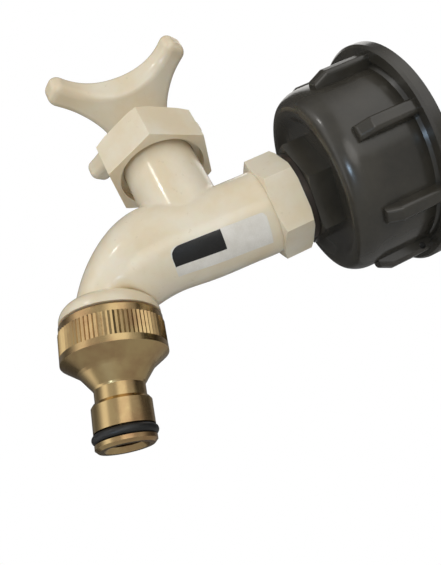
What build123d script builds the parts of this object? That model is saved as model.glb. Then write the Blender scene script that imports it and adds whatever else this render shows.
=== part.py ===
from build123d import *
from math import cos, pi, radians, sin
import os

# The origin is the centre of the cap's open mouth. The inlet axis is Y, with
# the tank on the +Y side, and the tap stands out along -Y with its handle up.

# tank cap, heights measured from the mouth
CAP_BORE_R = 30.3
CAP_WALL = 3.5
CAP_SKIRT_R = CAP_BORE_R + CAP_WALL
CAP_RIM_OUT = 6.6
CAP_RIM_R = CAP_SKIRT_R + CAP_RIM_OUT
CAP_RIM_T = 4.6
CAP_LEDGE = 24.0
CAP_LEDGE_R = 24.6
CAP_WEB = 25.8
CAP_FLOOR = 29.8
CAP_CREST = 32.6
CREST_SET_IN = 5.0
CAP_CREST_R = CAP_SKIRT_R - CREST_SET_IN
RIB_COUNT = 8
RIB_OUT = 4.2
RIB_R = CAP_SKIRT_R + RIB_OUT
RIB_ROOT = 2.3
RIB_W = 5.2
RIB_TURN = -15.0
RIB_END = 24.2
TIE_HOLE_R = 1.2
TIE_HOLE_IN = 2.1
TIE_HOLE_RISE = 2.6
SOCKET_AF = 33.0
SOCKET_H = 38.4
SOCKET_TURN = -18.0
GASKET_T = 3.0
GASKET_SET_IN = 2.3
GASKET_OUT_R = CAP_BORE_R - GASKET_SET_IN

# tap inlet, 3/4 inch pipe thread
PIPE_R = 13.2
PIPE_LENGTH = 14.2
PIPE_BORE_R = 10.0
INLET_SEAL_T = 2.2
HEX_AF = 32.4
HEX_T = 11.4
SCREW_GAP = 0.15
HEX_FRONT = SOCKET_H + INLET_SEAL_T
HEX_REAR = HEX_FRONT + HEX_T
PIPE_END = HEX_FRONT - PIPE_LENGTH

# tap body
STEM = HEX_REAR + 25.0
BARREL_R = 15.2
BARREL_WAIST_R = 14.7
BORE_R = 11.2
CHAMBER_BACK = STEM + 13.0
CHAMBER_RISE = 3.4
CHAMBER_TALL = 16.6
CHAMBER_WIDE = 14.3
NECK_R = 13.8
NECK_TOP = 39.5
NECK_FILLET = 2.2
NECK_BORE_R = 10.6
CHAMBER_WALL = 2.8
SEAT_R = 6.0
SEAT_LIP_R = 7.6
SEAT_Z = 2.0
SEAT_PLATE_TOP = 1.0
SEAT_PLATE_UNDER = -1.8

# spout, leaning forward, heights measured down from the top of the collar
SPOUT_OUT = STEM + 37.6
SPOUT_DROP = 14.3
SPOUT_LEAN = 13.1
SPOUT_R = 10.8
SPOUT_BORE_R = 8.6
BEAD_R = 16.0
BEAD_H = 6.6
BEAD_FOOT = -0.5
BEAD_ROUND = 5.6
HOSE_R = 13.2
HOSE_END = 10.4

# bonnet nut
NUT_AF = 36.3
NUT_BOTTOM = 33.1
NUT_TOP = 47.5
NUT_RECESS_R = 16.2
NUT_RECESS = 3.4
BONNET_SEAL_T = 2.0
BONNET_BORE_R = 8.6

# handle with its spindle
SPINDLE_R = 8.0
HUB_R = 9.4
HUB_GAP = 0.5
ARM_REACH = 34.0
ARM_FLARE_Z = 4.0
ARM_RISE = 15.1
ARM_WEB_R = 18.0
ARM_GAP_R = 11.5
ARM_TIP_W = 9.4
ARM_TIP_R = 3.2
ARM_ROUND = 2.8
PISTON_TOP = 20.0
PISTON_FOOT = 11.0
PISTON_RING_Z = 15.6
RUN_GAP = 0.08
PISTON_CORD = 2.6

# valve
SEAT_GAP = 0.3
WASHER_R = 8.2
WASHER_T = 3.0
JUMPER_R = 8.8
JUMPER_T = 2.6
JUMPER_PIN_R = 3.4
SCREW_R = 2.0
SCREW_HEAD_R = 3.6
SCREW_HEAD_T = 1.8

# hose connector
COLLAR_R = 16.5
COLLAR_TOP_R = 16.2
KNURLS = 76
KNURL_DEPTH = 0.4
KNURL_TOP = 2.8
KNURL_END = 10.5
COLLAR_END = 13.0
CONNECTOR_FLOOR = 12.4
HUB_END = 16.9
CONE_END = 21.3
SHOULDER = 26.0
NECK_TURN_R = 7.7
SPIGOT_R = 9.0
SPIGOT_BORE_R = 5.2
RING_TOP = 34.4
RING_SLOT = 3.3
RING_CORD = 2.9
SPIGOT_END = 39.8

DOWN = Vector(0, -sin(radians(SPOUT_LEAN)), -cos(radians(SPOUT_LEAN)))


def inlet(out):
    """Plane across the inlet axis a distance out of the tank, normal along -Y."""
    return Plane(origin=(0, -out, 0), x_dir=(1, 0, 0), z_dir=(0, -1, 0))


def stem(z):
    """Plane across the stem axis at a height."""
    return Plane(origin=(0, -STEM, z), x_dir=(1, 0, 0), z_dir=(0, 0, 1))


def spout(down):
    """Plane across the spout axis, a distance down from the top of the collar."""
    at = Vector(0, -SPOUT_OUT, -SPOUT_DROP) + DOWN * down
    return Plane(origin=at, x_dir=(1, 0, 0), z_dir=DOWN)


def rod(plane, radius, length):
    return plane * Cylinder(radius, length, align=(Align.CENTER, Align.CENTER, Align.MIN))


def ring(plane, inner, outer, length):
    return rod(plane, outer, length) - rod(plane, inner, length)


def hexagon(plane, flats, length, turn=0.0):
    return extrude(plane * RegularPolygon(flats / 3 ** 0.5, 6, rotation=turn), length)


def turned(plane, *edges):
    """Solid of revolution about a plane's normal from edges drawn as (radius, height)."""
    outline = Curve() + list(edges)
    return plane * revolve(Plane.XZ * make_face(outline), Axis.Z)


def turned_points(plane, *points):
    return turned(plane, Polyline(*points, close=True))


def cord_ring(plane, middle, cord):
    return plane * Torus(middle, cord / 2)


def bevelled(plane, flats, length, low, high):
    """Cone-ended rod that takes the corners off a hexagon's two faces."""
    corner = flats / 3 ** 0.5 + 0.1
    edge = flats / 2 + 0.3
    return turned_points(plane, (0, 0), (corner - 3 * low, 0), (corner, low * 1.2),
                         (corner, length - high * 1.2), (corner - 3 * high, length), (0, length))


def section(y, z, rise, tall, wide):
    """Oval across the bend, its long direction raised by an angle from +Y."""
    up = Vector(0, cos(radians(rise)), sin(radians(rise)))
    flat = Plane(origin=(0, y, z), x_dir=(1, 0, 0), z_dir=Vector(1, 0, 0).cross(up))
    turns = [pi / 6 * k for k in range(12)]
    points = [(wide * sin(turn), -tall * cos(turn)) for turn in turns]
    return flat * make_face(Spline(*points, periodic=True))


def bend(wall):
    """The barrel with its valve chamber and the bend down to the spout, less a wall."""
    foot = Vector(0, -SPOUT_OUT, -SPOUT_DROP) - DOWN * (BEAD_H - 0.4)
    start = BARREL_R - wall
    waist = BARREL_WAIST_R - wall
    tip = SPOUT_R - wall
    tall = CHAMBER_TALL - wall
    wide = CHAMBER_WIDE - wall
    last_rise = 180 - SPOUT_LEAN

    def onward(out, drop, turn, tall_share, wide_share):
        """A section part of the way from the chamber's back to the spout."""
        return section(-CHAMBER_BACK + out * (foot.Y + CHAMBER_BACK),
                       CHAMBER_RISE + drop * (foot.Z - CHAMBER_RISE),
                       93 + turn * (last_rise - 93),
                       tall + tall_share * (tip - tall), wide + wide_share * (tip - wide))

    tube = loft([section(12 - HEX_REAR, 0, 90, start, start),
                 section(2 - HEX_REAR, 0, 90, start, start),
                 section(17 - STEM, 0, 90, start - 0.1, start - 0.1),
                 section(7 - STEM, CHAMBER_RISE * 0.12, 90, waist + 0.5, waist + 0.1),
                 section(-3 - STEM, CHAMBER_RISE * 0.52, 90, waist + 1.2, waist - 0.1),
                 section(-CHAMBER_BACK, CHAMBER_RISE, 93, tall, wide),
                 onward(0.42, 0.16, 0.12, 0.17, 0.14),
                 onward(0.71, 0.50, 0.38, 0.57, 0.50),
                 onward(0.88, 0.75, 0.70, 0.90, 0.86),
                 section(foot.Y, foot.Z, last_rise, tip, tip)])
    # the first section only steadies the curve inside the hexagon
    return tube - Pos(0, 31 - HEX_REAR, 0) * Box(60, 60, 60)


def on_neck(edge):
    """True for the curve where the neck comes out of the chamber."""
    spots = [edge.position_at(share) for share in (0.1, 0.3, 0.5, 0.7, 0.9)]
    reach = [Vector(spot.X, spot.Y + STEM).length for spot in spots]
    return max(abs(r - NECK_R) for r in reach) < 0.05 and max(spot.Z for spot in spots) < NECK_TOP - 1


def body_outside():
    flange = hexagon(inlet(HEX_FRONT), HEX_AF, HEX_REAR - HEX_FRONT)
    flange = flange & bevelled(inlet(HEX_FRONT), HEX_AF, HEX_REAR - HEX_FRONT, 0.6, 0.8)
    pipe = rod(inlet(PIPE_END), PIPE_R, HEX_FRONT - PIPE_END + 1)
    tee = bend(0) + rod(stem(0), NECK_R, NECK_TOP)
    seam = [edge for edge in tee.edges() if on_neck(edge)]
    tee = fillet(seam, NECK_FILLET)
    bead = rod(spout(-BEAD_H), BEAD_R, BEAD_H + BEAD_FOOT)
    bead = fillet(bead.edges().sort_by(Axis.Z)[-1], BEAD_ROUND)
    hose = rod(spout(-2), HOSE_R, HOSE_END + 2)
    return flange + pipe + tee + bead + hose


def water_way():
    """Inlet bore, the way up through the seat, the chamber and the spout bore."""
    inlet_end = STEM + SEAT_LIP_R + 0.8
    inlet_bore = rod(inlet(PIPE_END - 1), PIPE_BORE_R, HEX_FRONT - PIPE_END + 1)
    inlet_bore += rod(inlet(HEX_FRONT - 0.5), BORE_R, inlet_end - HEX_FRONT + 0.5)
    over_seat = Pos(0, -STEM, SEAT_PLATE_UNDER + 25) * Box(60, 2 * (SEAT_LIP_R + 5), 50)
    inlet_bore -= over_seat
    through = rod(stem(-4), SEAT_R, 4 + SEAT_Z + 1)
    chamber = rod(stem(SEAT_PLATE_TOP), NECK_BORE_R, NECK_TOP)
    chamber -= ring(stem(SEAT_PLATE_TOP - 1), SEAT_R, SEAT_LIP_R, SEAT_Z - SEAT_PLATE_TOP + 1)
    over_plate = Pos(0, -STEM - 40, SEAT_PLATE_TOP + 20) * Box(60, 80, 40)
    behind = Pos(0, -inlet_end - CHAMBER_WALL - 40, 0) * Box(60, 80, 80)
    out = bend(3.2) & (over_plate + behind)
    down = rod(spout(-BEAD_H - 1), SPOUT_BORE_R, BEAD_H + HOSE_END + 2)
    return inlet_bore + through + chamber + out + down


def tap_body():
    return body_outside() - water_way()


def bonnet_nut():
    length = NUT_TOP - NUT_BOTTOM
    seal_top = NECK_TOP + BONNET_SEAL_T
    nut = hexagon(stem(NUT_BOTTOM), NUT_AF, length)
    nut = nut & bevelled(stem(NUT_BOTTOM), NUT_AF, length, 0.25, 0.7)
    nut -= rod(stem(NUT_BOTTOM - 1), NUT_RECESS_R, NUT_RECESS + 1)
    nut -= rod(stem(NUT_BOTTOM), NECK_R + SCREW_GAP, seal_top - NUT_BOTTOM)
    return nut - rod(stem(seal_top - 1), BONNET_BORE_R, 20)


def bonnet_seal():
    return ring(stem(NECK_TOP), NECK_BORE_R + 0.3, NECK_R - 0.2, BONNET_SEAL_T)


def star():
    """Plan of the handle, four blunt arms, webbed in pairs on the two sides of the tap."""
    half = ARM_TIP_W / 2
    edges = []
    for k in range(4):
        turn = Rot(0, 0, 45 + 90 * k)
        left = (turn * Pos(ARM_REACH, half)).position
        right = (turn * Pos(ARM_REACH, -half)).position
        inner = ARM_GAP_R if k % 2 == 0 else ARM_WEB_R
        middle = (Rot(0, 0, 90 + 90 * k) * Pos(inner, 0)).position
        onward = (Rot(0, 0, 135 + 90 * k) * Pos(ARM_REACH, -half)).position
        edges += [Line(right, left), Spline(left, middle, onward, tangents=(-left, onward))]
    plan = make_face(Curve() + edges)
    return fillet(plan.vertices(), ARM_TIP_R)


def arms():
    bars = extrude(stem(NUT_TOP + HUB_GAP) * star(), 30)
    foot = NUT_TOP + HUB_GAP
    flare = NUT_TOP + ARM_FLARE_Z

    def along(out, up):
        """A point on the arm's side view, in shares of its reach and its rise."""
        return (out * ARM_REACH, flare + up * ARM_RISE)

    low = Spline((HUB_R, flare), along(0.371, 0.26), along(0.647, 0.54), along(1.17, 0.775),
                 tangents=((0.1, 1), (1, 0.16)))
    top = Spline(along(1.17, 1.36), along(0.706, 1.17), along(0.324, 1.1), along(0, 1.08),
                 tangents=((-1, -0.3), (-1, 0)))
    sides = turned(Plane(origin=(0, -STEM, 0)), low, top, Line(along(1.17, 0.775), along(1.17, 1.36)),
                   Line(along(0, 1.08), (0, foot)), Line((0, foot), (HUB_R, foot)),
                   Line((HUB_R, foot), (HUB_R, flare)))
    knob = bars & sides
    rims = [e for e in knob.edges() if e.center().Z > flare + 0.5 and abs(e.tangent_at(0.5).Z) < 0.9]
    return fillet(rims, ARM_ROUND)


def handle():
    foot = PISTON_FOOT
    groove = PISTON_CORD * 1.25
    piston_r = NECK_BORE_R - RUN_GAP
    root = NECK_BORE_R - RUN_GAP / 2 - PISTON_CORD
    spindle = turned_points(stem(0), (0, foot), (piston_r, foot), (piston_r, PISTON_RING_Z - groove / 2),
                            (root, PISTON_RING_Z - groove / 2), (root, PISTON_RING_Z + groove / 2),
                            (piston_r, PISTON_RING_Z + groove / 2), (piston_r, PISTON_TOP - 1),
                            (piston_r - 1, PISTON_TOP), (SPINDLE_R, PISTON_TOP), (SPINDLE_R, NUT_TOP + 3), (0, NUT_TOP + 3))
    spindle -= rod(stem(foot - 1), JUMPER_PIN_R + RUN_GAP, 8)
    return arms() + spindle


def spindle_ring():
    middle = NECK_BORE_R - RUN_GAP / 2 - PISTON_CORD / 2
    return cord_ring(stem(PISTON_RING_Z), middle, PISTON_CORD)


def jumper():
    under = SEAT_Z + SEAT_GAP + WASHER_T
    plate = rod(stem(under), JUMPER_R, JUMPER_T)
    plate = chamfer(plate.edges().sort_by(Axis.Z)[-1], 0.8)
    pin = rod(stem(under), JUMPER_PIN_R, PISTON_FOOT + 6 - under)
    collar = rod(stem(under), JUMPER_PIN_R + 2, PISTON_FOOT - 0.3 - under)
    return plate + pin + collar - rod(stem(under - 1), SCREW_R, 8)


def jumper_washer():
    return ring(stem(SEAT_Z + SEAT_GAP), SCREW_R, WASHER_R, WASHER_T)


def jumper_screw():
    under = SEAT_Z + SEAT_GAP
    head = rod(stem(under - SCREW_HEAD_T), SCREW_HEAD_R, SCREW_HEAD_T)
    head = fillet(head.edges().sort_by(Axis.Z)[0], 0.8)
    head -= Pos(0, -STEM, under - SCREW_HEAD_T) * Box(10, 1, 1.6)
    return head + rod(stem(under - 0.5), SCREW_R, WASHER_T + 5)


def cap_outline():
    """Skirt, rounded shoulder, crest and the dish round the socket."""
    pipe = PIPE_R + SCREW_GAP
    groove = GASKET_OUT_R + 0.1
    shoulder_at = CAP_CREST - 8.6
    lip = CAP_CREST_R - 2.4
    foot = CAP_CREST_R - 6.4
    shoulder = Spline((CAP_SKIRT_R, shoulder_at), (CAP_SKIRT_R - 0.35, CAP_CREST - 4.6),
                      (CAP_SKIRT_R - 1.7, CAP_CREST - 1.6), (CAP_CREST_R, CAP_CREST),
                      tangents=((0, 1), (-1, 0.05)))
    dish = Spline((CAP_CREST_R, CAP_CREST), (lip, CAP_CREST - 0.8), (CAP_CREST_R - 4.2, CAP_FLOOR + 0.7),
                  (foot, CAP_FLOOR), tangents=((-1, 0), (-1, -0.1)))
    wall = Polyline((foot, CAP_FLOOR), (pipe, CAP_FLOOR), (pipe, CAP_WEB),
                    (CAP_LEDGE_R - 4.8, CAP_WEB), (CAP_LEDGE_R - 2.0, CAP_WEB + 1.4),
                    (CAP_LEDGE_R, CAP_WEB + 1.6),
                    (CAP_LEDGE_R, CAP_LEDGE), (groove, CAP_LEDGE), (groove, CAP_LEDGE - GASKET_T),
                    (CAP_BORE_R, CAP_LEDGE - GASKET_T), (CAP_BORE_R, 0), (CAP_RIM_R - 0.8, 0),
                    (CAP_RIM_R, 0.8), (CAP_RIM_R, CAP_RIM_T - 0.8), (CAP_RIM_R - 0.8, CAP_RIM_T),
                    (CAP_SKIRT_R + 2.4, CAP_RIM_T), (CAP_SKIRT_R + 1.6, CAP_RIM_T - 1.4),
                    (CAP_SKIRT_R + 1.0, CAP_RIM_T - 1.4), (CAP_SKIRT_R, CAP_RIM_T), (CAP_SKIRT_R, shoulder_at))
    return turned(inlet(0), shoulder, dish, wall)


def cap_rib(angle):
    """One grip rib, its outer edges and its front end rounded."""
    side = Plane(origin=(0, 0, 0), x_dir=(cos(radians(angle)), 0, sin(radians(angle))),
                 z_dir=(-sin(radians(angle)), 0, cos(radians(angle))))
    # local y of this plane runs along the inlet axis
    sign = 1 if side.y_dir.Y < 0 else -1
    low = sign * (CAP_RIM_T - 1.8)
    far = sign * RIB_END
    near = sign * (RIB_END - 4.5)
    root = CAP_SKIRT_R - RIB_ROOT
    shape = make_face(Polyline((root, low), (RIB_R, low), (RIB_R, near), (RIB_R - 2.2, far),
                               (root, far), close=True))
    bar = extrude(side * shape, RIB_W / 2, both=True)
    edges = [e for e in bar.edges() if e.center().X ** 2 + e.center().Z ** 2 > (CAP_SKIRT_R + 0.7) ** 2
             and e.center().Y < -CAP_RIM_T]
    return fillet(edges, 1.5)


def tank_cap():
    cap = cap_outline()
    socket = hexagon(inlet(CAP_FLOOR - 1), SOCKET_AF, SOCKET_H - CAP_FLOOR + 1, SOCKET_TURN)
    socket = socket & bevelled(inlet(CAP_FLOOR - 1), SOCKET_AF, SOCKET_H - CAP_FLOOR + 1, 0.01, 0.5)
    socket -= rod(inlet(CAP_FLOOR - 2), PIPE_R + SCREW_GAP, 20)
    ribs = [cap_rib(RIB_TURN + 360 / RIB_COUNT * k) for k in range(RIB_COUNT)]
    cap = cap + socket + ribs
    turn = radians(RIB_TURN - 90)
    out = RIB_R - TIE_HOLE_IN
    spot = Vector(out * cos(turn), -CAP_RIM_T - TIE_HOLE_RISE, out * sin(turn))
    across = Plane(origin=spot, z_dir=(-sin(turn), 0, cos(turn)))
    return cap - across * Cylinder(TIE_HOLE_R, 12)


def cap_gasket():
    return ring(inlet(CAP_LEDGE - GASKET_T), CAP_LEDGE_R + 0.2, GASKET_OUT_R, GASKET_T)


def inlet_seal():
    return ring(inlet(SOCKET_H), PIPE_R + 0.1, 16.0, HEX_FRONT - SOCKET_H)


def knurled_band():
    step = 2 * pi / (2 * KNURLS)
    low = COLLAR_R - KNURL_DEPTH
    points = [((COLLAR_R if k % 2 else low) * cos(k * step), (COLLAR_R if k % 2 else low) * sin(k * step))
              for k in range(2 * KNURLS)]
    return extrude(spout(KNURL_TOP) * make_face(Polyline(*points, close=True)), KNURL_END - KNURL_TOP)


def hose_connector():
    slot = RING_TOP + RING_SLOT
    slot_r = SPIGOT_R + 0.65 - RING_CORD
    outside = turned_points(spout(0), (0, 0), (COLLAR_TOP_R - 0.6, 0), (COLLAR_TOP_R, 0.6),
                            (COLLAR_TOP_R, KNURL_TOP), (15.6, KNURL_TOP), (15.6, KNURL_END),
                            (COLLAR_R, KNURL_END), (COLLAR_R, COLLAR_END - 0.4), (COLLAR_R - 0.5, COLLAR_END),
                            (11.9, HUB_END - 0.8), (11.2, HUB_END), (NECK_TURN_R + 0.3, CONE_END),
                            (NECK_TURN_R, CONE_END + 0.6), (NECK_TURN_R, SHOULDER), (SPIGOT_R - 0.7, SHOULDER),
                            (SPIGOT_R, SHOULDER + 1.0), (SPIGOT_R, RING_TOP), (slot_r, RING_TOP), (slot_r, slot),
                            (SPIGOT_R, slot), (SPIGOT_R, SPIGOT_END - 0.9), (SPIGOT_R - 0.9, SPIGOT_END),
                            (0, SPIGOT_END))
    inside = turned_points(spout(0), (0, -1), (HOSE_R + SCREW_GAP + 0.5, -1), (HOSE_R + SCREW_GAP + 0.5, 0),
                           (HOSE_R + SCREW_GAP, 0.6), (HOSE_R + SCREW_GAP, CONNECTOR_FLOOR),
                           (SPOUT_BORE_R, CONNECTOR_FLOOR), (SPIGOT_BORE_R, 17.5),
                           (SPIGOT_BORE_R, SPIGOT_END - 1.6), (SPIGOT_BORE_R + 1.3, SPIGOT_END),
                           (SPIGOT_BORE_R + 1.3, SPIGOT_END + 1), (0, SPIGOT_END + 1))
    return outside + knurled_band() - inside


def connector_washer():
    return ring(spout(HOSE_END), SPOUT_BORE_R, HOSE_R, CONNECTOR_FLOOR - HOSE_END)


def spigot_ring():
    return cord_ring(spout(RING_TOP + RING_SLOT / 2), SPIGOT_R + 0.65 - RING_CORD / 2, RING_CORD)


PIECES = {
    "tap_body": tap_body,
    "bonnet_nut": bonnet_nut,
    "bonnet_seal": bonnet_seal,
    "handle": handle,
    "spindle_ring": spindle_ring,
    "jumper": jumper,
    "jumper_washer": jumper_washer,
    "jumper_screw": jumper_screw,
    "tank_cap": tank_cap,
    "cap_gasket": cap_gasket,
    "inlet_seal": inlet_seal,
    "hose_connector": hose_connector,
    "connector_washer": connector_washer,
    "spigot_ring": spigot_ring,
}

os.makedirs("parts", exist_ok=True)
for name, make in PIECES.items():
    export_step(make(), f"parts/{name}.step")
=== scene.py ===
import bpy
from math import cos, pi, radians, sin
from mathutils import Matrix, Vector
from mathutils.bvhtree import BVHTree


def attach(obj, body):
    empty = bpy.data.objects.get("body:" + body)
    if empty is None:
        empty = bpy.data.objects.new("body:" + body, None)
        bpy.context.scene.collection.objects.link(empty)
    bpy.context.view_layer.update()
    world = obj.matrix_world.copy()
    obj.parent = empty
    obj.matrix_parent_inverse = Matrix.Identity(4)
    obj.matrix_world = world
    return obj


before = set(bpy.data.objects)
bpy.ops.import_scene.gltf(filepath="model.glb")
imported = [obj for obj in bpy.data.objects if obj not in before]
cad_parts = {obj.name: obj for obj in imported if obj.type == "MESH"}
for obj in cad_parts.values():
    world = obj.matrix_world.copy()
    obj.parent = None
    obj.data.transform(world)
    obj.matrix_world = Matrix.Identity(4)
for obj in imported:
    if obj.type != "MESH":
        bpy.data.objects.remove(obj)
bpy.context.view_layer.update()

# Sizes and places of the solids that the finishes and the added pieces follow.
MM = 0.001
SPOUT_LEAN = radians(13.1)
STEM_Y = -77 * MM
CAP_BORE_R = 30.3 * MM
SPINDLE_R = 8 * MM


class Level:
    """A value running through a node tree. Arithmetic on it adds the Math nodes."""

    def __init__(self, wiring, socket):
        self.wiring = wiring
        self.socket = socket

    def math(self, operation, *others):
        inputs = dict(enumerate((self,) + others))
        return self.wiring.add("ShaderNodeMath", {"operation": operation}, inputs)

    def __add__(self, other):
        return self.math("ADD", other)

    def __sub__(self, other):
        return self.math("SUBTRACT", other)

    def __rsub__(self, other):
        return (self * -1.0) + other

    def __mul__(self, other):
        return self.math("MULTIPLY", other)

    __radd__ = __add__
    __rmul__ = __mul__


class Wiring:
    """Adds nodes to a tree and joins them up."""

    def __init__(self, tree):
        self.tree = tree
        tree.nodes.clear()

    def add(self, kind, settings=None, inputs=None, output=0):
        """A node with its settings made first, then its inputs given by name or number."""
        node = self.tree.nodes.new(kind)
        for key, value in (settings or {}).items():
            if key == "stops":
                self.set_stops(node.color_ramp.elements, value)
            else:
                setattr(node, key, value)
        for key, value in (inputs or {}).items():
            if isinstance(value, Level):
                self.tree.links.new(value.socket, node.inputs[key])
            else:
                node.inputs[key].default_value = value
        return Level(self, node.outputs[output]) if output is not None else None

    def set_stops(self, ramp, stops):
        """A ramp of greys from pairs of a place and a brightness."""
        while len(ramp) < len(stops):
            ramp.new(0.5)
        for element, (place, level) in zip(ramp, stops):
            element.position = place
            element.color = (level, level, level, 1.0)

    def band(self, level, low, high, bottom=0.0, top=1.0, kind="LINEAR"):
        """A level stretched so that low..high becomes bottom..top, and held there beyond."""
        return self.add("ShaderNodeMapRange", {"clamp": True, "interpolation_type": kind},
                        {"Value": level, "From Min": low, "From Max": high, "To Min": bottom, "To Max": top})


class Finish(Wiring):
    """A material on the principled shader, with the patterns that finishes share."""

    def __init__(self, name, **constants):
        self.material = bpy.data.materials.new(name)
        self.material.use_nodes = True
        super().__init__(self.material.node_tree)
        output = self.tree.nodes.new("ShaderNodeOutputMaterial")
        self.shader = self.tree.nodes.new("ShaderNodeBsdfPrincipled")
        self.tree.links.new(self.shader.outputs[0], output.inputs[0])
        for key, value in constants.items():
            self.shader_input(key).default_value = value
        self.place = self.add("ShaderNodeTexCoord", output="Object")

    def shader_input(self, key):
        return self.shader.inputs[key.replace("_", " ").title().replace("Ior", "IOR")]

    def noise(self, size, detail=3.0, place=None):
        """Noise whose blobs are about a size in metres."""
        return self.add("ShaderNodeTexNoise", None,
                        {"Vector": place or self.place, "Scale": 1 / size, "Detail": detail,
                         "Roughness": 0.55})

    def mix(self, factor, first, second):
        """Two colours mixed by a level."""
        return self.add("ShaderNodeMix", {"data_type": "RGBA"},
                        {"Factor": factor, 6: first, 7: second}, output=2)

    def bump(self, height, depth, strength=1.0):
        return self.add("ShaderNodeBump", None,
                        {"Height": height, "Distance": depth, "Strength": strength})

    def drive(self, **levels):
        """Joins levels to the shader and gives the finished material."""
        for key, value in levels.items():
            self.tree.links.new(value.socket, self.shader_input(key))
        return self.material


def rgb(red, green, blue):
    """An sRGB colour from 0..255 as the linear colour a socket wants."""
    linear = [((v / 255 + 0.055) / 1.055) ** 2.4 if v > 10 else v / 255 / 12.92 for v in (red, green, blue)]
    return (*linear, 1.0)


def cream_plastic():
    """Warm ivory moulding with flow marks, a semi-gloss skin and a little light under the surface."""
    finish = Finish("cream_plastic", subsurface_weight=0.25, subsurface_radius=(1.0, 0.55, 0.28),
                    subsurface_scale=2.6 * MM, ior=1.49)
    flow = finish.noise(18 * MM, 4.0)
    skin = finish.noise(0.9 * MM)
    specks = finish.noise(1.6 * MM, 2.0)
    warm = finish.mix(finish.band(flow, 0.38, 0.64), rgb(230, 213, 181), rgb(236, 225, 202))
    colour = finish.mix(finish.band(specks, 0.68, 0.76, 0.0, 0.35), warm, rgb(208, 192, 160))
    rough = finish.band(finish.noise(6 * MM) + skin * 0.5, 0.5, 1.0, 0.13, 0.22)
    return finish.drive(base_color=colour, roughness=rough, normal=finish.bump(skin, 0.02 * MM, 0.4))


def black_plastic():
    """Warm black moulding, semi-gloss, with a faint bloom and fine rub marks."""
    finish = Finish("black_plastic", ior=1.5)
    bloom = finish.noise(14 * MM, 4.0)
    grain = finish.noise(0.7 * MM)
    stretched = finish.add("ShaderNodeMapping", None, {"Vector": finish.place, "Scale": (1.0, 14.0, 1.0)})
    rubs = finish.noise(1.2 * MM, 2.0, stretched)
    base = finish.mix(finish.band(bloom, 0.35, 0.68), rgb(53, 50, 44), rgb(65, 61, 53))
    colour = finish.mix(finish.band(rubs, 0.66, 0.78, 0.0, 0.5), base, rgb(84, 80, 70))
    rough = finish.band(bloom + grain * 0.6, 0.5, 1.1, 0.15, 0.26)
    return finish.drive(base_color=colour, roughness=rough, normal=finish.bump(grain, 0.002 * MM))


def turned_brass():
    """Turned brass with the lathe's fine rings, a satin sheen and darker film in places."""
    finish = Finish("turned_brass", metallic=1.0)
    along = finish.add("ShaderNodeMapping", {"vector_type": "POINT"},
                       {"Vector": finish.place, "Rotation": (-SPOUT_LEAN, 0.0, 0.0)})
    height = finish.add("ShaderNodeSeparateXYZ", None, {"Vector": along}, output=2)
    rings = finish.add("ShaderNodeTexNoise", {"noise_dimensions": "1D"},
                       {"W": height, "Scale": 1 / (0.16 * MM), "Detail": 2.0})
    film = finish.noise(11 * MM, 5.0)
    colour = finish.mix(finish.band(film, 0.42, 0.68), rgb(200, 173, 124), rgb(172, 136, 98))
    rough = finish.band(film * 0.4 + rings, 0.45, 0.95, 0.16, 0.26)
    return finish.drive(base_color=colour, roughness=rough, normal=finish.bump(rings, 0.012 * MM, 0.5))


def rubber(name, dark, light, shine):
    """Moulded rubber with a fine grain and paler dust."""
    finish = Finish(name, ior=1.5)
    grain = finish.noise(0.5 * MM)
    dust = finish.noise(4 * MM, 4.0)
    colour = finish.mix(finish.band(dust, 0.45, 0.72), dark, light)
    rough = finish.band(grain, 0.3, 0.7, shine, shine + 0.16)
    return finish.drive(base_color=colour, roughness=rough, normal=finish.bump(grain, 0.02 * MM, 0.6))


def vinyl(name, dark, light, shine):
    """Printed vinyl, faintly cloudy and a little duller than the plastic under it."""
    finish = Finish(name, ior=1.5)
    cloud = finish.noise(5 * MM)
    fibre = finish.noise(0.35 * MM, 2.0)
    colour = finish.mix(finish.band(cloud, 0.35, 0.7), dark, light)
    rough = finish.band(fibre, 0.3, 0.7, shine, shine + 0.08)
    return finish.drive(base_color=colour, roughness=rough, normal=finish.bump(cloud, 0.05 * MM, 0.4))


CREAM = cream_plastic()
BLACK = black_plastic()
BRASS = turned_brass()
RUBBER = rubber("black_rubber", rgb(20, 20, 20), rgb(34, 33, 31), 0.34)
# The inlet seal's brown is a painted reflection of the cream hexagon in the black cap's bevel.
SEAL_WITH_PAINTED_REFLECTION = rubber("dark_seal", rgb(44, 34, 26), rgb(62, 48, 36), 0.50)
WHITE_VINYL = vinyl("white_vinyl", rgb(226, 219, 206), rgb(237, 231, 220), 0.22)
BLACK_VINYL = vinyl("black_vinyl", rgb(16, 14, 12), rgb(24, 22, 19), 0.20)

FINISH_OF = {
    "tap_body": CREAM,
    "bonnet_nut": CREAM,
    "handle": CREAM,
    "jumper": CREAM,
    "tank_cap": BLACK,
    "hose_connector": BRASS,
    "jumper_screw": BRASS,
    "bonnet_seal": RUBBER,
    "spindle_ring": RUBBER,
    "jumper_washer": RUBBER,
    "cap_gasket": RUBBER,
    "connector_washer": RUBBER,
    "spigot_ring": RUBBER,
    "inlet_seal": SEAL_WITH_PAINTED_REFLECTION,
}
for node, material in FINISH_OF.items():
    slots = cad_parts[node].data.materials
    slots.clear()
    slots.append(material)


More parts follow.
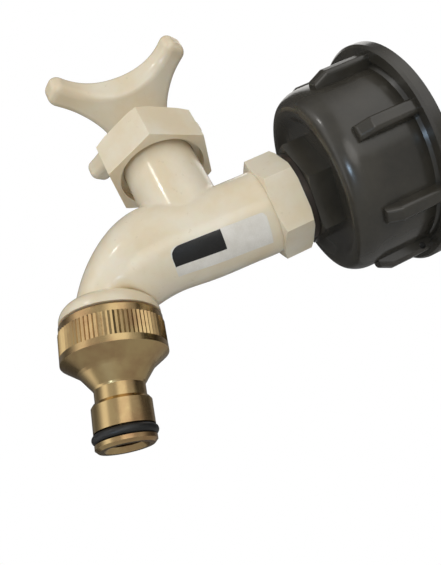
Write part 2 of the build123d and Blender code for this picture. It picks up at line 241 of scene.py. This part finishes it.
class Shaping(Wiring):
    """A geometry tree with named sizes, ending in realised, painted geometry."""

    def __init__(self, name, sizes, vectors):
        super().__init__(bpy.data.node_groups.new(name, "GeometryNodeTree"))
        self.new_socket("Geometry", "OUTPUT", "Geometry")
        for size in sizes:
            self.new_socket(size, "INPUT", "Float")
        for vector in vectors:
            self.new_socket(vector, "INPUT", "Vector")
        self.new_socket("Finish", "INPUT", "Material")
        self.sizes = self.tree.nodes.new("NodeGroupInput")

    def new_socket(self, name, side, kind):
        self.tree.interface.new_socket(name, in_out=side, socket_type="NodeSocket" + kind)

    def size(self, name):
        return Level(self, self.sizes.outputs[name])

    def end(self, geometry):
        real = self.add("GeometryNodeRealizeInstances", None, {"Geometry": geometry})
        painted = self.add("GeometryNodeSetMaterial", None,
                           {"Geometry": real, "Material": self.size("Finish")})
        self.add("NodeGroupOutput", None, {"Geometry": painted}, output=None)
        return self.tree


def placed(name, mesh, body):
    """An object of a mesh that rides on a body."""
    piece = bpy.data.objects.new(name, mesh)
    bpy.context.collection.objects.link(piece)
    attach(piece, body)


def shaped_piece(name, tree, values, material, body):
    """A plain mesh made by a geometry tree with these values."""
    holder = bpy.data.objects.new(name + "_shape", bpy.data.meshes.new(name + "_shape"))
    bpy.context.collection.objects.link(holder)
    modifier = holder.modifiers.new("shape", "NODES")
    modifier.node_group = tree
    sockets = {item.name: item.identifier for item in tree.interface.items_tree if item.in_out == "INPUT"}
    for key, value in values.items():
        modifier[sockets[key]] = value
    modifier[sockets["Finish"]] = material
    holder.update_tag()
    shaped = holder.evaluated_get(bpy.context.evaluated_depsgraph_get())
    mesh = bpy.data.meshes.new_from_object(shaped)
    mesh.name = name
    bpy.data.objects.remove(holder)
    placed(name, mesh, body)


NARROW_SHARE = 0.45
ROUNDING_SHARE = 0.125
FADE_FROM = 0.44


def screw_ridge():
    """A thread's ridge: a tapered profile lying on its side, swept along a helix.

    Its thickness runs along the screw. Its breadth, half of it sunk in the wall, runs across the wall
    and is full on one flank and NARROW_SHARE of that on the other. It fades out at both ends, past
    FADE_FROM of the helix's length from its middle.
    """
    shape = Shaping("screw_ridge", ("Radius", "Pitch", "Turns", "Thickness", "Breadth"), ("Place", "Turn"))
    radius = shape.size("Radius")
    turns = shape.size("Turns")
    thickness = shape.size("Thickness")
    breadth = shape.size("Breadth")
    helix = shape.add("GeometryNodeCurveSpiral", None,
                      {"Resolution": 72, "Rotations": turns, "Start Radius": radius, "End Radius": radius,
                       "Height": shape.size("Pitch") * turns})
    upright = shape.add("GeometryNodeSetCurveNormal", {"mode": "Z_UP"}, {"Curve": helix})
    share = shape.add("GeometryNodeSplineParameter", output="Factor")
    from_middle = (share - 0.5).math("ABSOLUTE")
    fade = shape.band(from_middle, FADE_FROM, 0.5, bottom=1.0, top=0.05, kind="SMOOTHSTEP")
    faded = shape.add("GeometryNodeSetCurveRadius", None, {"Curve": upright, "Radius": fade})
    outline = shape.add("GeometryNodeCurvePrimitiveQuadrilateral", {"mode": "TRAPEZOID"},
                        {"Height": thickness, "Bottom Width": breadth, "Top Width": breadth * NARROW_SHARE,
                         "Offset": 0.0})
    rounded = shape.add("GeometryNodeFilletCurve", {"mode": "POLY"},
                        {"Curve": outline, "Radius": thickness * ROUNDING_SHARE, "Count": 3})
    ridge = shape.add("GeometryNodeCurveToMesh", None,
                      {"Curve": faded, "Profile Curve": rounded, "Fill Caps": True})
    smooth = shape.add("GeometryNodeSetShadeSmooth", None, {"Geometry": ridge, "Shade Smooth": True})
    return shape.end(shape.add("GeometryNodeTransform", None,
                               {"Geometry": smooth, "Translation": shape.size("Place"),
                                "Rotation": shape.size("Turn")}))


# Where the helices of the two threads start.
CAP_THREAD_Y = -3.4 * MM
SPINDLE_THREAD_Z = 29.5 * MM

RIDGE = screw_ridge()
shaped_piece("cap_thread", RIDGE,
             {"Radius": CAP_BORE_R, "Pitch": 6 * MM, "Turns": 2.5,
              "Thickness": 4.4 * MM, "Breadth": 4.6 * MM,
              "Place": (0, CAP_THREAD_Y, 0), "Turn": (pi / 2, 0, 0)}, BLACK, "tap")
shaped_piece("spindle_thread", RIDGE,
             {"Radius": SPINDLE_R, "Pitch": 4 * MM, "Turns": 4.2,
              "Thickness": 0.84 * MM, "Breadth": 1.9 * MM,
              "Place": (0, STEM_Y, SPINDLE_THREAD_Z), "Turn": (0, 0, 0)}, CREAM, "handle")

LABEL_SLANT = radians(3.5)
LABEL_WRAP_R = 15 * MM
LABEL_COLUMNS = 48
LABEL_ROWS = 24
CLEAR_OF_BARREL = 40 * MM


def corner_bite(corners, gaps):
    """How far rounded corners cut into a label's upper edge, from their radii and the gaps to its sides."""
    bite = 0.0
    for corner, gap in zip(corners, gaps):
        if gap < corner:
            bite = corner - (corner ** 2 - (corner - gap) ** 2) ** 0.5
    return bite


def label(name, material, along, turn, width, height, corners, lift):
    """A thin label laid on the barrel, starting at its end away from the tank, a little aslant."""
    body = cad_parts["tap_body"].data
    skin = BVHTree.FromPolygons([v.co for v in body.vertices], [tuple(f.vertices) for f in body.polygons])
    points = []
    for i in range(LABEL_COLUMNS + 1):
        out = width * i / LABEL_COLUMNS
        bite = corner_bite(corners, (out, width - out))
        for j in range(LABEL_ROWS + 1):
            down = bite + (height - bite) * j / LABEL_ROWS
            angle = turn - (down * cos(LABEL_SLANT) + out * sin(LABEL_SLANT)) / LABEL_WRAP_R
            away = Vector((cos(angle), 0, sin(angle)))
            beside = Vector((0, along + out * cos(LABEL_SLANT) - down * sin(LABEL_SLANT), 0))
            spot = skin.ray_cast(beside + away * CLEAR_OF_BARREL, -away)[0]
            points.append(spot + away * lift)
    stride = LABEL_ROWS + 1
    faces = [(i * stride + j, i * stride + j + 1, (i + 1) * stride + j + 1, (i + 1) * stride + j)
             for i in range(LABEL_COLUMNS) for j in range(LABEL_ROWS)]
    mesh = bpy.data.meshes.new(name)
    mesh.from_pydata(points, [], faces)
    mesh.update()
    mesh.materials.append(material)
    for face in mesh.polygons:
        face.use_smooth = True
    placed(name, mesh, "tap")


label("label_ground", WHITE_VINYL, along=-88.2 * MM, turn=radians(-23), width=33.2 * MM, height=11.4 * MM,
      corners=(2.5 * MM, 1.6 * MM), lift=0.06 * MM)
label("label_block", BLACK_VINYL, along=-88.0 * MM, turn=radians(-23.4), width=17.4 * MM, height=7.1 * MM,
      corners=(3.6 * MM, 0.0), lift=0.09 * MM)

# The photograph's view: the tap is seen from its side and from below.
VIEW_AZIMUTH = radians(79.78)
VIEW_ELEVATION = radians(-22.76)
VIEW_ROLL = radians(-29.8)
CAMERA_AT = Vector((149.7, -90.9, -89.9)) * MM
FOCAL_PX = 499.0
FRAME_PX = (441, 565)
CENTRE_PX = (267.8, 285.2)
SENSOR = 36.0


def view_axes():
    """The photograph's right, up and back directions."""
    back = Vector((sin(VIEW_AZIMUTH) * cos(VIEW_ELEVATION), -cos(VIEW_AZIMUTH) * cos(VIEW_ELEVATION),
                   sin(VIEW_ELEVATION)))
    level = (-back).cross(Vector((0, 0, 1))).normalized()
    upright = level.cross(-back)
    right = cos(VIEW_ROLL) * level + sin(VIEW_ROLL) * upright
    up = cos(VIEW_ROLL) * upright - sin(VIEW_ROLL) * level
    return right, up, back


def photo_camera():
    """The camera that was fitted to the photograph."""
    lens = bpy.data.cameras.new("photo_camera")
    lens.sensor_fit = "VERTICAL"
    lens.sensor_height = SENSOR
    lens.lens = FOCAL_PX * SENSOR / FRAME_PX[1]
    lens.shift_x = (FRAME_PX[0] / 2 - CENTRE_PX[0]) / FRAME_PX[1]
    lens.shift_y = (CENTRE_PX[1] - FRAME_PX[1] / 2) / FRAME_PX[1]
    lens.clip_start = 0.01
    camera = bpy.data.objects.new("photo_camera", lens)
    turn = Matrix(view_axes()).transposed().to_4x4()
    camera.matrix_world = Matrix.Translation(CAMERA_AT) @ turn
    bpy.context.collection.objects.link(camera)
    bpy.context.scene.camera = camera


# Lights stand around this point in the barrel, by how far right, up and back they are in the view.
LIT_POINT = Vector((0, -70, 0)) * MM
# How bright the room is from the view's left to its right, for the streaks on the brass and the cap.
ROOM_BANDS = ((0.0, 0.30), (0.05, 0.85), (0.12, 0.95), (0.18, 0.45), (0.42, 0.36), (0.54, 0.90),
              (0.74, 0.95), (0.80, 0.42), (0.90, 0.42), (1.0, 1.0))
BEHIND_SHARE = 0.22
FRONT_SHARE = 1.32
BELOW_SHARE = 0.5
FLOOR_R = 0.9
FLOOR_Z = -0.30
FLOOR_SIDES = 96


def soft_light(name, toward, size, watts, colour):
    """A round soft light that faces the part."""
    right, up, back = view_axes()
    offset = toward[0] * right + toward[1] * up + toward[2] * back
    lamp = bpy.data.lights.new(name, "AREA")
    lamp.shape = "DISK"
    lamp.size = size
    lamp.energy = watts
    lamp.color = colour
    light = bpy.data.objects.new(name, lamp)
    light.location = LIT_POINT + offset
    light.rotation_euler = offset.to_track_quat("Z", "Y").to_euler()
    bpy.context.collection.objects.link(light)


def pale_room():
    """A room that is white to the camera and unevenly bright, mostly from the front, to the part."""
    room = bpy.data.worlds.new("pale_room")
    room.use_nodes = True
    air = Wiring(room.node_tree)
    seen = air.add("ShaderNodeLightPath", output="Is Camera Ray")
    toward = air.add("ShaderNodeTexCoord", output="Generated")
    across, above, behind = [air.add("ShaderNodeVectorMath", {"operation": "DOT_PRODUCT"},
                                     {0: toward, 1: axis}, output=1) for axis in view_axes()]
    front = air.band(behind, -0.35, 0.35, bottom=BEHIND_SHARE, top=FRONT_SHARE, kind="SMOOTHSTEP")
    low = air.band(above, -0.95, -0.45, bottom=BELOW_SHARE, top=1.0, kind="SMOOTHSTEP")
    bands = air.add("ShaderNodeValToRGB", {"stops": ROOM_BANDS}, {"Fac": across * 0.5 + 0.5})
    strength = front * low * bands * (1.0 - seen) + seen
    glow = air.add("ShaderNodeBackground", None, {"Color": (1.0, 1.0, 1.0, 1.0), "Strength": strength})
    air.add("ShaderNodeOutputWorld", None, {"Surface": glow}, output=None)
    bpy.context.scene.world = room


def pale_floor():
    """A round floor well below the part."""
    step = 2 * pi / FLOOR_SIDES
    ring = [(FLOOR_R * cos(step * k), FLOOR_R * sin(step * k), FLOOR_Z) for k in range(FLOOR_SIDES)]
    mesh = bpy.data.meshes.new("floor")
    mesh.from_pydata(ring, [], [range(FLOOR_SIDES)])
    paint = Finish("pale_floor")
    tone = paint.band(paint.noise(0.4, 2.0), 0.3, 0.7)
    mesh.materials.append(paint.drive(base_color=paint.mix(tone, rgb(245, 245, 244), rgb(250, 250, 249))))
    floor = bpy.data.objects.new("floor", mesh)
    bpy.context.collection.objects.link(floor)


photo_camera()
soft_light("key_light", toward=(0.06, 0.16, 0.62), size=0.34, watts=0.50, colour=(1.0, 0.97, 0.93))
soft_light("side_light", toward=(-0.40, 0.36, 0.25), size=0.035, watts=0.16, colour=(1.0, 0.98, 0.95))
soft_light("back_light", toward=(0.05, 0.42, -0.48), size=0.40, watts=0.45, colour=(1.0, 0.98, 0.95))
soft_light("window_light", toward=(-0.15, -0.11, 0.56), size=0.08, watts=0.42, colour=(0.55, 0.76, 1.0))
pale_room()
pale_floor()
bpy.context.scene.view_settings.view_transform = "Standard"
